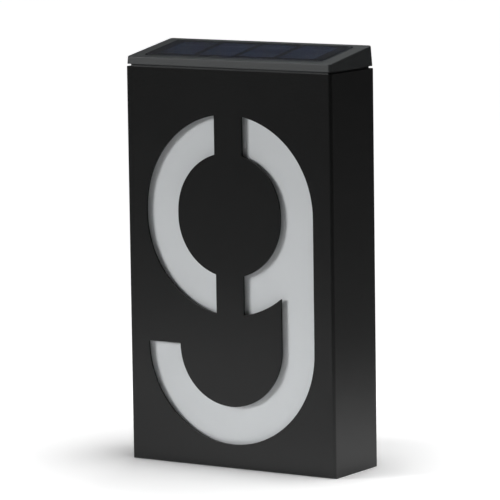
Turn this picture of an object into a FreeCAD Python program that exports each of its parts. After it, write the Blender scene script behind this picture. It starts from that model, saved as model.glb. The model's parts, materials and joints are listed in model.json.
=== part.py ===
import FreeCAD, Part

# Solar house-number sign.
#
# A folded steel sleeve, open at the top and at the back, has the numeral 9 cut through its front as a
# stencil. An opal diffuser is taped behind the numeral, and a black moulded back cover with a white
# reflector closes the sleeve against the wall. A moulded head plugs into the open top. It carries the
# solar panel on a slope, one rechargeable cell, the driver board, an off/auto slide switch that reaches
# out through its back wall, and a strip of lamps that shines down between reflector and diffuser.
#
# Millimetres. X runs to the right seen from the front, the front faces -Y, the wall is at +Y, Z is up.
# The origin is the middle of the sign's footprint. The head lifts straight up out of the sleeve.

import math
import os

from FreeCAD import Placement, Rotation, Vector

# ---- sleeve --------------------------------------------------------------------------------------
sign_width = 115.0
sign_depth = 39.0
sleeve_height = 190.2
sheet = 1.2
bend_inside = 0.3
flange_width = 7.0
flange_chamfer = 2.0
mitre_gap = 0.5
mitre_angle = 45.0

# ---- numeral, cut as a stencil: a bowl with a closed counter, a stem and a hook ------------------
numeral_radius = 46.8
numeral_stroke = 18.2
bowl_centre_z = 121.4
bowl_straight = 2.0
hook_centre_z = 58.4
stencil_bridge = 15.3

# ---- diffuser and the tape that holds it behind the front sheet ----------------------------------
tape_thickness = 1.0
tape_width = 6.0
tape_end_margin = 2.0
diffuser_thickness = 2.0
diffuser_side_gap = 0.5

# ---- back cover, a tray that slides down inside the sleeve ---------------------------------------
cover_gap = 0.3
cover_plate = 2.0
cover_wall = 1.6
cover_wall_gap = 0.2
keyhole_spacing = 60.0
keyhole_drop = 28.0
keyhole_entry_radius = 4.5
keyhole_slot_radius = 2.3
keyhole_slot_rise = 9.0
keyhole_pad_margin = 3.0
keyhole_pad_height = 1.0

# ---- reflector, a folded white sheet inside the back cover ---------------------------------------
reflector_sheet = 0.5
reflector_gap = 0.15
reflector_top_margin = 0.8

# ---- head: wedge lid and the neck that plugs into the sleeve -------------------------------------
lid_gap = 1.1
lid_inset = 0.2
lid_front_height = 3.6
lid_back_height = 9.7
lid_draft = 3.0
lid_corner = 1.5
lid_top_round = 0.5
brow_reach = 0.2
neck_clearance = 0.4
neck_length = 18.0
neck_wall = 1.6
neck_corner = 1.0
neck_seat_gap = 0.2
crush_rib_half_width = 1.0
crush_rib_height = 0.3
crush_rib_side_y = 9.0
crush_rib_front_x = 34.0
crush_rib_end_margin = 3.0

# ---- solar panel, let into the sloping lid -------------------------------------------------------
panel_width = 99.0
panel_length = 28.6
panel_front_rim = 4.6
panel_clearance = 0.25
recess_depth = 2.0
recess_floor = 1.5
adhesive_thickness = 0.3
panel_board = 1.2
resin_thickness = 1.0
resin_round = 0.4
cell_count = 4
cell_width = 19.2
cell_length = 22.6
cell_gap = 3.2
cell_thickness = 0.25
lead_hole_radius = 2.6
lead_hole_run_out = 0.2

# ---- head base, screwed under the neck -----------------------------------------------------------
base_plate = 2.0
base_clearance = 0.2
boss_radius = 2.8
boss_inset_x = 4.8
boss_inset_y = 3.8
boss_web = 1.2
screw_radius = 1.2
screw_pilot_gap = 0.05
screw_pilot_depth = 9.0
screw_head_radius = 2.6
screw_head_height = 1.6
screw_length = 9.0
screw_counterbore = 0.9
screw_hole_gap = 0.3
screw_crown_share = 0.45

# ---- lamps: a board over a slot in the base, with a clear strip let into its underside -----------
lamp_count = 6
lamp_length = 3.5
lamp_width = 2.8
lamp_height = 0.8
lamp_board_width = 6.0
lamp_board_thickness = 1.0
lamp_row_inset = 5.3
lamp_slot_width = 4.4
lamp_slot_end = 1.2
lamp_board_gap = 1.65
peg_edge = 2.0
lens_thickness = 1.0
lens_lip = 1.4
lens_clearance = 0.2
peg_radius = 1.0
peg_head_radius = 1.7
peg_head_height = 0.7
peg_hole_gap = 0.1

# ---- cell, its cradle and contacts ---------------------------------------------------------------
cell_radius = 7.25
battery_length = 50.5
battery_nub_radius = 2.75
battery_nub_height = 1.3
battery_edge = 0.6
battery_end_gap = 5.85
battery_floor_gap = 1.2
cradle_gap = 0.15
saddle_thickness = 2.0
saddle_height = 4.4
saddle_half_width = 6.4
saddle_offset = 16.0
cradle_wall = 2.0
cradle_wall_height = 12.4
contact_thickness = 0.4
contact_half_width = 3.6
leaf_depth = 4.6
leaf_flat = 3.0
leaf_tip = 4.2
leaf_foot_share = 0.45
leaf_tip_share = 0.55

# ---- driver board and what is soldered to it -----------------------------------------------------
driver_left_gap = 5.2
driver_right_gap = 0.7
driver_width = 20.6
driver_thickness = 1.6
board_hole_gap = 0.2
driver_standoff = 4.8
driver_back_gap = 1.7
post_radius = 2.2
post_pilot_radius = 1.0
post_inset_x = 3.2
post_front_inset = 3.0
post_back_inset = 9.4
rib_half_length = 2.2
rib_half_width = 0.9
coil_radius = 3.4
coil_height = 6.2
coil_flange = 1.2
coil_waist = 0.7
coil_inset_x = 2.4
coil_inset_y = 1.0
capacitor_radius = 2.5
capacitor_height = 7.0
capacitor_groove = 0.35
capacitor_groove_height = 1.2
capacitor_inset_x = 3.0
capacitor_inset_y = 0.9
chip_length = 4.9
chip_width = 3.9
chip_height = 1.5
chip_standoff = 0.1
chip_inset_x = 14.5
chip_inset_y = 12.5
chip_leg = 0.4
chip_leg_reach = 1.0
chip_leg_pitch = 1.27
chip_legs_a_side = 4
resistor_count = 3
resistor_width = 1.6
resistor_length = 3.2
resistor_height = 0.55
resistor_cap = 0.5
resistor_solder = 0.05
resistor_spacing = 2.2
resistor_inset_x = 7.0
resistor_inset_y = 1.0

# ---- slide switch --------------------------------------------------------------------------------
switch_inset_x = 16.0
switch_length = 8.6
switch_depth = 4.4
switch_height = 3.8
switch_skin = 0.6
switch_wall_gap = 0.2
switch_travel = 2.6
knob_length = 2.2
knob_height = 2.0
knob_proud = 1.0
knob_round = 0.3
slider_plate = 0.9
slider_plate_length = 3.8
slide_clearance = 0.25

# ---- wires ---------------------------------------------------------------------------------------
wire_radius = 0.55
lead_arch = 2.4
lead_arch_fall = 0.2
lead_dip = 2.0
lead_bow = 0.8
lead_bow_rise = 0.4
lead_climb = 4.0
lead_climb_in = 0.6
lead_foot_drop = 4.4
wire_sides = 6
bend_share = 0.45
solar_lead_inset_x = 14.9
solar_lead_inset_y = 3.4
solar_lead_sway = 1.2
lamp_lead_outside = 2.4
lamp_lead_inside = 4.0
lamp_lead_rise = 3.8
battery_lead_gap = 4.0
battery_lead_lift = 4.0
battery_plus_foot_x = 5.9
battery_plus_foot_y = 1.2
battery_minus_foot_x = 2.6
battery_minus_foot_y = 7.6

# ---- places worked out from the sizes above ------------------------------------------------------
half_width = sign_width / 2
front_y = -sign_depth / 2
back_y = sign_depth / 2
bend_outside = bend_inside + sheet
counter_radius = numeral_radius - numeral_stroke
lid_bottom_z = sleeve_height + lid_gap
neck_bottom_z = lid_bottom_z - neck_length - lid_gap
base_top_z = neck_bottom_z + base_plate
cover_top_z = neck_bottom_z - neck_seat_gap
keyhole_entry_z = cover_top_z - keyhole_drop
diffuser_front_y = front_y + sheet + tape_thickness
diffuser_back_y = diffuser_front_y + diffuser_thickness
diffuser_half = half_width - sheet - diffuser_side_gap
diffuser_bottom_z = sheet + cover_gap
cover_half = half_width - sheet - cover_gap
cover_back_y = back_y - sheet - cover_gap
cover_plate_y = cover_back_y - cover_plate
cover_front_y = diffuser_back_y + cover_wall_gap
cover_bottom_z = sheet + cover_gap
neck_half_x = half_width - sheet - neck_clearance
neck_half_y = back_y - sheet - neck_clearance
cavity_half_x = neck_half_x - neck_wall
cavity_half_y = neck_half_y - neck_wall
draft_slope = math.tan(math.radians(lid_draft))
lid_front_z = lid_bottom_z + lid_front_height
lid_back_z = lid_bottom_z + lid_back_height
lid_front_top_y = front_y + lid_inset + draft_slope * lid_front_height
lid_back_top_y = back_y - lid_inset - draft_slope * lid_back_height
slope_angle = math.degrees(math.atan2(lid_back_z - lid_front_z, lid_back_top_y - lid_front_top_y))
boss_x = cavity_half_x - boss_inset_x
boss_y = cavity_half_y - boss_inset_y
lamp_row_y = cavity_half_y - lamp_row_inset
lamp_board_half = boss_x - boss_radius - lamp_board_gap
peg_x = lamp_board_half - peg_edge
lamp_slot_half = peg_x - peg_radius - lens_clearance - lens_lip
lamp_pitch = (2 * (lamp_slot_half - lamp_slot_end) - lamp_length) / (lamp_count - 1)
battery_z = base_top_z + battery_floor_gap + cell_radius
battery_plus_x = battery_end_gap - cavity_half_x
battery_minus_x = battery_plus_x + battery_length
battery_centre_x = battery_plus_x + battery_length / 2
plus_wall_x = battery_plus_x - cradle_gap - contact_thickness
minus_wall_x = battery_minus_x + cradle_gap + leaf_depth
driver_left = minus_wall_x + cradle_wall + driver_left_gap
driver_right = boss_x - boss_radius - driver_right_gap
driver_back_y = cavity_half_y - driver_back_gap
driver_front_y = driver_back_y - driver_width
driver_bottom_z = base_top_z + driver_standoff
driver_top_z = driver_bottom_z + driver_thickness
switch_x = driver_right - switch_inset_x
switch_back_y = cavity_half_y - switch_wall_gap
switch_centre_z = driver_top_z + switch_height / 2
overlap = 1.0
parallel = 0.99
nearly_parallel = 0.9
pick_reach = 0.01


def block(x0, x1, y0, y1, z0, z1):
    return Part.makeBox(x1 - x0, y1 - y0, z1 - z0, Vector(x0, y0, z0))


def rod(radius, start, end):
    along = end - start
    return Part.makeCylinder(radius, along.Length, start, along)


def runs_along(edge, axis):
    """True for a straight edge parallel to the axis."""
    if edge.Curve.TypeId != "Part::GeomLine":
        return False
    return abs(edge.tangentAt(edge.FirstParameter).dot(axis)) > parallel


def rounded(shape, radius, axis, wanted=lambda centre: True):
    """The shape with its straight edges along the axis rounded, where their centres are wanted."""
    edges = [e for e in shape.Edges if runs_along(e, axis) and wanted(e.CenterOfMass)]
    return shape.makeFillet(radius, edges)


def fused(shapes):
    return shapes[0].multiFuse(shapes[1:]).removeSplitter()


def turned(profile, foot, axis):
    """The solid of revolution of a profile of (radius, distance along the axis) corners."""
    across = Vector(0, 1, 0) if abs(axis.y) < 0.5 else Vector(1, 0, 0)
    corners = [foot + across * r + axis * along for r, along in profile]
    return Part.Face(Part.makePolygon(corners + corners[:1])).revolve(foot, axis, 360)


def folded_box(x0, x1, y0, y1, z0, z1, radius):
    """A box whose upright edges and whose lower front and back edges are bends of this radius."""
    plan = rounded(block(x0, x1, y0, y1, z0, z1), radius, Vector(0, 0, 1))
    side = rounded(block(x0, x1, y0, y1, z0, z1), radius, Vector(1, 0, 0), lambda c: c.z < z0 + pick_reach)
    return plan.common(side)


def on_slope(shape):
    """Moves a shape drawn on the lid's top (x, distance up the slope, height above it) into place."""
    turn = Rotation(Vector(1, 0, 0), slope_angle)
    placed = shape.copy()
    placed.Placement = Placement(Vector(0, lid_front_top_y, lid_front_z), turn)
    return placed


def slope_height(y):
    """Height of the lid's sloping top at this y."""
    return lid_front_z + (y - lid_front_top_y) * math.tan(math.radians(slope_angle))


# ---- sleeve --------------------------------------------------------------------------------------
def stadium(radius, straight, centre_z, y0, y1):
    """An upright slot shape with round ends, drawn in the front plane and extruded from y0 to y1."""
    high = centre_z + straight / 2
    low = centre_z - straight / 2
    outline = [
        Part.Arc(Vector(radius, y0, high), Vector(0, y0, high + radius), Vector(-radius, y0, high)),
        Part.LineSegment(Vector(-radius, y0, high), Vector(-radius, y0, low)),
        Part.Arc(Vector(-radius, y0, low), Vector(0, y0, low - radius), Vector(radius, y0, low)),
        Part.LineSegment(Vector(radius, y0, low), Vector(radius, y0, high)),
    ]
    face = Part.Face(Part.Wire([curve.toShape() for curve in outline]))
    return face.extrude(Vector(0, y1 - y0, 0))


def numeral_cutter(y0, y1):
    """The two openings of the stencil 9, extruded from y0 to y1."""
    ring = stadium(numeral_radius, bowl_straight, bowl_centre_z, y0, y1)
    ring = ring.cut(stadium(counter_radius, bowl_straight, bowl_centre_z, y0 - overlap, y1 + overlap))
    reach = numeral_radius + overlap
    low = bowl_centre_z - reach - bowl_straight
    high = bowl_centre_z + reach + bowl_straight
    left = ring.common(block(-reach, -stencil_bridge / 2, y0, y1, low, high))
    right = ring.common(block(stencil_bridge / 2, reach, y0, y1, low, high))
    stem = block(counter_radius, numeral_radius, y0, y1, hook_centre_z, bowl_centre_z)
    hook = rod(numeral_radius, Vector(0, y0, hook_centre_z), Vector(0, y1, hook_centre_z))
    hook = hook.cut(rod(counter_radius, Vector(0, y0, hook_centre_z), Vector(0, y1, hook_centre_z)))
    hook = hook.common(block(-reach, reach, y0, y1, hook_centre_z - reach, hook_centre_z))
    return Part.makeCompound([left, fused([right, stem, hook])])


def make_sleeve():
    """Front, sides and floor folded from one sheet, with return flanges round the back opening."""
    outside = folded_box(-half_width, half_width, front_y, back_y, 0, sleeve_height, bend_outside)
    inside = folded_box(
        -half_width + sheet, half_width - sheet, front_y + sheet, back_y - sheet,
        sheet, sleeve_height + overlap, bend_inside,
    )
    opening_half = half_width - flange_width
    opening = block(-opening_half, opening_half, back_y - sheet - overlap, back_y + overlap,
                    flange_width, sleeve_height + overlap)
    cuts = [inside, opening, numeral_cutter(front_y - overlap, front_y + sheet + overlap)]
    mitre_length = (flange_width - bend_outside) / math.cos(math.radians(mitre_angle))
    for side in (-1, 1):
        corner = Vector(side * opening_half, 0, flange_width)
        slit = block(-mitre_gap / 2, mitre_gap / 2, back_y - sheet - overlap / 2, back_y + overlap,
                     -mitre_length, overlap)
        slit.Placement = Placement(corner, Rotation(Vector(0, 1, 0), -mitre_angle * side))
        cuts.append(slit)
        top = Vector(side * opening_half, back_y + overlap, sleeve_height)
        tip = Part.makePolygon([
            top - Vector(side * overlap, 0, flange_chamfer + overlap),
            top + Vector(side * (flange_chamfer + overlap), 0, overlap),
            top + Vector(-side * overlap, 0, overlap),
            top - Vector(side * overlap, 0, flange_chamfer + overlap),
        ])
        cuts.append(Part.Face(tip).extrude(Vector(0, -sheet - 2 * overlap, 0)))
    return outside.cut(Part.makeCompound(cuts))


def make_diffuser():
    """Opal sheet that covers the whole numeral."""
    return block(-diffuser_half, diffuser_half, diffuser_front_y, diffuser_back_y,
                 diffuser_bottom_z, cover_top_z)


def make_diffuser_tape():
    """Foam tape up both sides and along the foot, clear of the numeral."""
    y0 = front_y + sheet
    inner = diffuser_half - tape_width
    foot = diffuser_bottom_z + tape_width
    strips = [block(-inner, inner, y0, diffuser_front_y, diffuser_bottom_z, foot)]
    for x0 in (-diffuser_half, inner):
        strips.append(block(x0, x0 + tape_width, y0, diffuser_front_y,
                            diffuser_bottom_z, cover_top_z - tape_end_margin))
    return Part.makeCompound(strips)


# ---- back cover and reflector --------------------------------------------------------------------
def keyhole(x, y0, y1, margin=0.0):
    """Round entry with a narrower slot above it, grown by a margin."""
    entry = Vector(x, y0, keyhole_entry_z)
    hanger = entry + Vector(0, 0, keyhole_slot_rise)
    through = Vector(0, y1 - y0, 0)
    slot_half = keyhole_slot_radius + margin
    return fused([
        rod(keyhole_entry_radius + margin, entry, entry + through),
        rod(slot_half, hanger, hanger + through),
        block(x - slot_half, x + slot_half, y0, y1, entry.z, hanger.z),
    ])


def make_back_cover():
    """Black moulded tray: back plate, side walls and foot that hold the diffuser against its tape."""
    tray = block(-cover_half, cover_half, cover_front_y, cover_back_y, cover_bottom_z, cover_top_z)
    hollow = block(-cover_half + cover_wall, cover_half - cover_wall, cover_front_y - overlap,
                   cover_plate_y, cover_bottom_z + cover_wall, cover_top_z + overlap)
    tray = tray.cut(hollow)
    pads = []
    holes = []
    for x in (-keyhole_spacing / 2, keyhole_spacing / 2):
        pads.append(keyhole(x, cover_plate_y - keyhole_pad_height, cover_plate_y, keyhole_pad_margin))
        holes.append(keyhole(x, cover_plate_y - keyhole_pad_height - overlap, cover_back_y + overlap))
    return fused([tray] + pads).cut(Part.makeCompound(holes))


def make_reflector():
    """White sheet folded forward along both sides and the foot, with windows round the keyhole pads."""
    gap = reflector_gap
    x1 = cover_half - cover_wall - gap
    y1 = cover_plate_y - gap
    z0 = cover_bottom_z + cover_wall + gap
    top = cover_top_z - reflector_top_margin
    folded = block(-x1, x1, cover_front_y, y1, z0, top)
    inside = block(-x1 + reflector_sheet, x1 - reflector_sheet, cover_front_y - overlap,
                   y1 - reflector_sheet, z0 + reflector_sheet, top + overlap)
    windows = [
        keyhole(x, y1 - reflector_sheet - overlap, y1 + overlap, keyhole_pad_margin + gap)
        for x in (-keyhole_spacing / 2, keyhole_spacing / 2)
    ]
    return folded.cut(Part.makeCompound([inside] + windows))


# ---- head cover ----------------------------------------------------------------------------------
def prism(corners, along):
    return Part.Face(Part.makePolygon(corners + corners[:1])).extrude(along)


def lid_wedge():
    """The drafted wedge of the lid: low at the front, high at the wall."""
    x0 = half_width - lid_inset
    x1 = x0 - draft_slope * lid_back_height
    low, high = lid_bottom_z, lid_back_z
    side = prism([
        Vector(-half_width, front_y + lid_inset, low), Vector(-half_width, back_y - lid_inset, low),
        Vector(-half_width, lid_back_top_y, high), Vector(-half_width, lid_front_top_y, lid_front_z),
    ], Vector(sign_width, 0, 0))
    front = prism([
        Vector(-x0, front_y, low), Vector(x0, front_y, low), Vector(x1, front_y, high),
        Vector(-x1, front_y, high),
    ], Vector(0, sign_depth, 0))
    wedge = side.common(front)
    uprights = [e for e in wedge.Edges if abs(e.tangentAt(e.FirstParameter).z) > nearly_parallel]
    wedge = wedge.makeFillet(lid_corner, uprights)
    brow = [e for e in wedge.Edges if e.CenterOfMass.z > slope_height(e.CenterOfMass.y) - brow_reach]
    return wedge.makeFillet(lid_top_round, brow)


def head_cavity():
    """The hollow of the neck, which ends under the floor of the panel recess."""
    room = block(-cavity_half_x, cavity_half_x, -cavity_half_y, cavity_half_y,
                 neck_bottom_z - overlap, lid_back_z + overlap)
    under = on_slope(block(-sign_width, sign_width, -sign_depth, 2 * sign_depth,
                           -2 * sign_width, -recess_depth - recess_floor))
    return room.common(under)


def crush_ribs():
    """Small upright three-sided ribs that centre the neck in the sleeve."""
    z0 = neck_bottom_z + crush_rib_end_margin
    tall = lid_bottom_z - crush_rib_end_margin - z0
    places = []
    for side in (-1, 1):
        places.append((side * crush_rib_front_x, -neck_half_y, 0, -1))
        places.append((side * (half_width - flange_width / 2 - sheet), neck_half_y, 0, 1))
        for y in (-crush_rib_side_y, crush_rib_side_y):
            places.append((side * neck_half_x, y, side, 0))
    ribs = []
    for x, y, out_x, out_y in places:
        foot = Vector(x - out_x * neck_wall / 2, y - out_y * neck_wall / 2, z0)
        tip = Vector(x + out_x * crush_rib_height, y + out_y * crush_rib_height, z0)
        beside = Vector(out_y, out_x, 0) * crush_rib_half_width
        ribs.append(prism([foot - beside, foot + beside, tip], Vector(0, 0, tall)))
    return ribs


def boss_places():
    return [Vector(sx * boss_x, sy * boss_y, base_top_z) for sx in (-1, 1) for sy in (-1, 1)]


def make_head_cover():
    """Lid and neck in one moulding, with the panel recess, four screw bosses and the switch window."""
    neck = block(-neck_half_x, neck_half_x, -neck_half_y, neck_half_y,
                 neck_bottom_z, lid_bottom_z + lid_front_height / 2)
    neck = rounded(neck, neck_corner, Vector(0, 0, 1))
    cavity = head_cavity()
    body = fused([lid_wedge(), neck] + crush_ribs()).cut(cavity)
    bosses = []
    pilots = []
    for place in boss_places():
        ceiling = Vector(0, 0, lid_back_z - base_top_z)
        outward = math.copysign(cavity_half_x + neck_wall / 2, place.x)
        x0, x1 = sorted((place.x, outward))
        bosses.append(rod(boss_radius, place, place + ceiling))
        bosses.append(block(x0, x1, place.y - boss_web / 2, place.y + boss_web / 2,
                            base_top_z, lid_back_z))
        pilots.append(rod(screw_radius + screw_pilot_gap, place - Vector(0, 0, overlap),
                          place + Vector(0, 0, screw_pilot_depth)))
    body = fused([body] + [boss.common(cavity) for boss in bosses])
    recess = on_slope(block(-panel_width / 2 - panel_clearance, panel_width / 2 + panel_clearance,
                            panel_front_rim - panel_clearance,
                            panel_front_rim + panel_length + panel_clearance,
                            -recess_depth, recess_depth + overlap))
    window_x = (switch_travel + knob_length) / 2 + 2 * slide_clearance
    window_z = knob_height / 2 + slide_clearance
    window = block(switch_x - window_x, switch_x + window_x, cavity_half_y - overlap,
                   neck_half_y + overlap, switch_centre_z - window_z, switch_centre_z + window_z)
    return body.cut(Part.makeCompound([recess, lead_hole(), window] + pilots))


# ---- solar panel ---------------------------------------------------------------------------------
def lead_hole():
    """Hole through the recess floor and the adhesive for the panel's two wires."""
    x, y = solar_lead_centre()
    top = slope_height(y) - recess_depth + adhesive_thickness + lead_hole_run_out
    return rod(lead_hole_radius, Vector(x, y, top - recess_floor - 3 * overlap), Vector(x, y, top))


def panel_layer(low, high):
    """One layer of the panel, between two heights above the recess floor."""
    return block(-panel_width / 2, panel_width / 2, panel_front_rim, panel_front_rim + panel_length,
                 low - recess_depth, high - recess_depth)


def make_panel_adhesive():
    return on_slope(panel_layer(0, adhesive_thickness)).cut(lead_hole())


def make_panel_board():
    return on_slope(panel_layer(adhesive_thickness, adhesive_thickness + panel_board))


def cell_blocks():
    """The cells in the panel's own coordinates, side by side on its board."""
    base = adhesive_thickness + panel_board - recess_depth
    pitch = cell_width + cell_gap
    start = -(cell_count * pitch - cell_gap) / 2
    y0 = panel_front_rim + (panel_length - cell_length) / 2
    return [
        block(start + i * pitch, start + i * pitch + cell_width, y0, y0 + cell_length,
              base, base + cell_thickness)
        for i in range(cell_count)
    ]


def make_solar_cells():
    return Part.makeCompound([on_slope(cell) for cell in cell_blocks()])


def make_panel_resin():
    """Clear resin cast over the cells, a little proud of the lid, with a rounded rim."""
    low = adhesive_thickness + panel_board
    slab = panel_layer(low, low + resin_thickness)
    top = low + resin_thickness - recess_depth
    rim = [e for e in slab.Edges if e.CenterOfMass.z > top - pick_reach]
    slab = slab.makeFillet(resin_round, rim)
    return on_slope(slab.cut(Part.makeCompound(cell_blocks())))


# ---- head base -----------------------------------------------------------------------------------
def post_places():
    """Standoffs under the driver board: two at the front, two clear of the lamp board."""
    z = base_top_z
    x0, x1 = driver_left + post_inset_x, driver_right - post_inset_x
    y0, y1 = driver_front_y + post_front_inset, driver_back_y - post_back_inset
    return [Vector(x0, y0, z), Vector(x1, y1, z), Vector(x1, y0, z), Vector(x0, y1, z)]


def make_head_base():
    """Plate under the neck that carries the cradle, the lamp board's pegs and the board posts."""
    x1 = cavity_half_x - base_clearance
    y1 = cavity_half_y - base_clearance
    solids = [block(-x1, x1, -y1, y1, neck_bottom_z, base_top_z)]
    cuts = []
    for place in boss_places():
        under = Vector(place.x, place.y, neck_bottom_z)
        cuts.append(rod(screw_radius + screw_hole_gap, under - Vector(0, 0, overlap), place + Vector(0, 0, overlap)))
        cuts.append(rod(screw_head_radius + screw_hole_gap, under - Vector(0, 0, overlap),
                        under + Vector(0, 0, screw_counterbore)))
    cuts.append(block(-lamp_slot_half, lamp_slot_half, lamp_row_y - lamp_slot_width / 2,
                      lamp_row_y + lamp_slot_width / 2, neck_bottom_z - overlap, base_top_z + overlap))
    cuts.append(lens_block(lens_clearance, overlap))
    for side in (-1, 1):
        solids.append(block(battery_centre_x + side * saddle_offset - saddle_thickness / 2,
                            battery_centre_x + side * saddle_offset + saddle_thickness / 2,
                            -saddle_half_width, saddle_half_width, base_top_z,
                            base_top_z + saddle_height))
        peg = Vector(side * peg_x, lamp_row_y, base_top_z)
        board_top = peg + Vector(0, 0, lamp_board_thickness)
        solids.append(rod(peg_radius, peg, board_top))
        solids.append(rod(peg_head_radius, board_top, board_top + Vector(0, 0, peg_head_height)))
    cuts.append(rod(cell_radius + cradle_gap, Vector(battery_plus_x - cradle_gap, 0, battery_z),
                    Vector(battery_minus_x + cradle_gap, 0, battery_z)))
    for x0 in (plus_wall_x - cradle_wall, minus_wall_x):
        solids.append(block(x0, x0 + cradle_wall, -saddle_half_width, saddle_half_width,
                            base_top_z, base_top_z + cradle_wall_height))
    for place in post_places()[:2]:
        solids.append(rod(post_radius, place, place + Vector(0, 0, driver_standoff)))
    for place in post_places()[2:]:
        solids.append(block(place.x - rib_half_length, place.x + rib_half_length,
                            place.y - rib_half_width, place.y + rib_half_width,
                            base_top_z, base_top_z + driver_standoff))
    for place in post_places()[:2]:
        cuts.append(rod(post_pilot_radius, place + Vector(0, 0, overlap / 2),
                        place + Vector(0, 0, driver_standoff + overlap)))
    return fused(solids).cut(Part.makeCompound(cuts))


def pan_screw(under_head):
    """A pan-head screw that points up, its head below the given point."""
    crown = screw_head_height * screw_crown_share
    return turned([
        (0, -screw_head_height), (screw_head_radius - crown, -screw_head_height),
        (screw_head_radius, crown - screw_head_height), (screw_head_radius, 0), (screw_radius, 0),
        (screw_radius, screw_length), (0, screw_length),
    ], under_head, Vector(0, 0, 1))


def make_base_screws():
    screws = []
    for place in boss_places():
        seat = Vector(place.x, place.y, neck_bottom_z + screw_counterbore)
        screws.append(pan_screw(seat))
    return Part.makeCompound(screws)


# ---- lamps ---------------------------------------------------------------------------------------
def lens_block(grow, below):
    half = lamp_slot_half + lens_lip + grow
    wide = lamp_slot_width / 2 + lens_lip + grow
    return block(-half, half, lamp_row_y - wide, lamp_row_y + wide,
                 neck_bottom_z - below, neck_bottom_z + lens_thickness)


def make_lamp_lens():
    return lens_block(0, 0)


def make_lamp_board():
    half = lamp_board_width / 2
    board = block(-lamp_board_half, lamp_board_half, lamp_row_y - half, lamp_row_y + half,
                  base_top_z, base_top_z + lamp_board_thickness)
    holes = []
    for x in (-peg_x, peg_x):
        foot = Vector(x, lamp_row_y, base_top_z)
        holes.append(rod(peg_radius + peg_hole_gap, foot - Vector(0, 0, overlap),
                         foot + Vector(0, 0, lamp_board_thickness + overlap)))
    return board.cut(Part.makeCompound(holes))


def make_lamps():
    """Surface-mount lamps on the underside of their board, over the slot in the base."""
    lamps = []
    for i in range(lamp_count):
        x = (i - (lamp_count - 1) / 2) * lamp_pitch
        lamps.append(block(x - lamp_length / 2, x + lamp_length / 2, lamp_row_y - lamp_width / 2,
                           lamp_row_y + lamp_width / 2, base_top_z - lamp_height, base_top_z))
    return Part.makeCompound(lamps)


# ---- cell and contacts ---------------------------------------------------------------------------
def make_battery():
    """A rechargeable cell on its side: plus end with its nub to the left, minus end to the right."""
    edge = battery_edge
    return turned([
        (0, 0), (battery_nub_radius, 0), (battery_nub_radius, battery_nub_height),
        (cell_radius - edge, battery_nub_height), (cell_radius, battery_nub_height + edge),
        (cell_radius, battery_length - edge), (cell_radius - edge, battery_length),
        (0, battery_length),
    ], Vector(battery_plus_x, 0, battery_z), Vector(1, 0, 0))


def make_plus_contact():
    """Plated strip on the cradle's left wall."""
    return block(plus_wall_x, plus_wall_x + contact_thickness, -contact_half_width, contact_half_width,
                 battery_z - contact_half_width, base_top_z + cradle_wall_height)


def make_minus_contact():
    """Plated strip folded over at the foot into a leaf that bows out to the cell's flat end."""
    top = base_top_z + cradle_wall_height
    foot = battery_z - contact_half_width
    gap = minus_wall_x - battery_minus_x - cradle_gap
    bow = [(0, top), (0, foot), (gap * leaf_foot_share, foot), (gap, battery_z - leaf_flat / 2),
           (gap, battery_z + leaf_flat / 2), (gap * leaf_tip_share, battery_z + leaf_tip)]
    inner = [(contact_thickness, top), (contact_thickness, foot + contact_thickness),
             (gap * leaf_foot_share - contact_thickness / 2, foot + contact_thickness),
             (gap - contact_thickness, battery_z - leaf_flat / 2),
             (gap - contact_thickness, battery_z + leaf_flat / 2 - contact_thickness / 2),
             (gap * leaf_tip_share - contact_thickness, battery_z + leaf_tip - contact_thickness / 2)]
    corners = [Vector(minus_wall_x - x, -contact_half_width, z) for x, z in bow + inner[::-1]]
    return prism(corners, Vector(0, 2 * contact_half_width, 0))


# ---- driver board --------------------------------------------------------------------------------
def make_driver_board():
    board = block(driver_left, driver_right, driver_front_y, driver_back_y,
                  driver_bottom_z, driver_top_z)
    lift = Vector(0, 0, driver_standoff - overlap)
    through = Vector(0, 0, driver_thickness + 2 * overlap)
    holes = [rod(post_pilot_radius + board_hole_gap, place + lift, place + lift + through)
             for place in post_places()[:2]]
    return board.cut(Part.makeCompound(holes))


def make_coil():
    """Drum-core coil: two flanges with the winding between them."""
    x = driver_right - coil_radius - coil_inset_x
    y = driver_front_y + coil_radius + coil_inset_y
    waist = coil_radius - coil_waist
    return turned([
        (0, 0), (coil_radius, 0), (coil_radius, coil_flange), (waist, coil_flange),
        (waist, coil_height - coil_flange), (coil_radius, coil_height - coil_flange),
        (coil_radius, coil_height), (0, coil_height),
    ], Vector(x, y, driver_top_z), Vector(0, 0, 1))


def make_capacitor():
    """Upright electrolytic can with its crimped groove."""
    x = driver_right - capacitor_radius - capacitor_inset_x
    y = driver_back_y - capacitor_radius - capacitor_inset_y
    groove = capacitor_groove
    neck = capacitor_groove_height
    return turned([
        (0, 0), (capacitor_radius, 0), (capacitor_radius, neck - groove),
        (capacitor_radius - groove, neck), (capacitor_radius, neck + groove),
        (capacitor_radius, capacitor_height), (0, capacitor_height),
    ], Vector(x, y, driver_top_z), Vector(0, 0, 1))


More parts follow.
